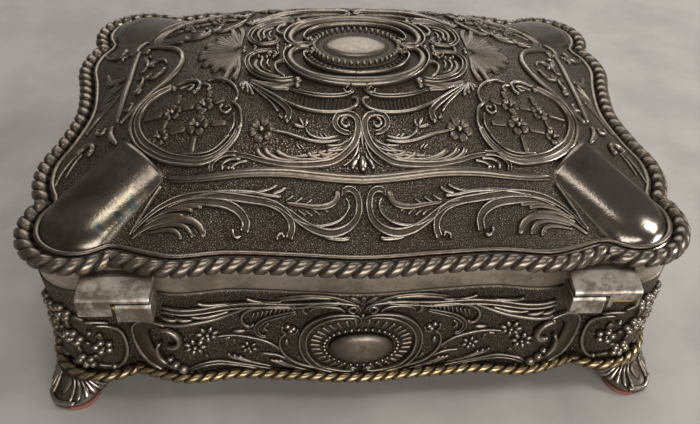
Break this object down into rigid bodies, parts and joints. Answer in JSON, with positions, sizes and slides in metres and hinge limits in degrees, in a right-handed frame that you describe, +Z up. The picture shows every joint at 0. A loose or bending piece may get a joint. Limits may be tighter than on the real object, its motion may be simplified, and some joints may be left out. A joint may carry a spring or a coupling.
{
  "type": "vanity trinket box",
  "caption": "Serpentine cast metal trinket box with a domed lid on rear hinges, rope edges, corner bosses, a fabric lining and flared corner feet.",
  "frame": {"origin": "on the table under the middle of the box", "axes": "+X along the long side, +Y from the hinge side to the opening side, +Z up"},
  "size_m": [0.1858, 0.1481, 0.0807],
  "materials": {
    "antique_silver": "cast relief with a dark antique patina in the hollows and worn bright edges",
    "worn_silver": "plain worn metal, lightly scratched and stained",
    "gilt_silver": "yellowed plated rope, bright on its crests and dark between them",
    "brass": "plain drawn brass pin",
    "velvet": "short-pile velvet over card",
    "felt": "thin pressed felt"
  },
  "bodies": {
    "base": {"body_shell": "antique_silver", "body_rope_rim": "gilt_silver", "bottom_plate": "worn_silver", "wall_lining": "velvet", "floor_lining": "velvet", "foot_front_left": "antique_silver", "foot_front_right": "antique_silver", "foot_rear_left": "antique_silver", "foot_rear_right": "antique_silver", "foot_pad_front_left": "felt", "foot_pad_front_right": "felt", "foot_pad_rear_left": "felt", "foot_pad_rear_right": "felt", "hinge_body_knuckle_left": "worn_silver", "hinge_body_knuckle_right": "worn_silver", "hinge_pin_left": "brass", "hinge_pin_right": "brass"},
    "lid": {"lid_shell": "antique_silver", "lid_rope_rim": "antique_silver", "lid_lining": "velvet", "hinge_lid_knuckle_left": "worn_silver", "hinge_lid_knuckle_right": "worn_silver"}
  },
  "joints": [
    {"name": "lid_hinge", "type": "hinge", "parent": "base", "child": "lid", "pos_m": [0, -0.073, 0.046], "axis": [1, 0, 0], "range_deg": [0, 95]}
  ]
}
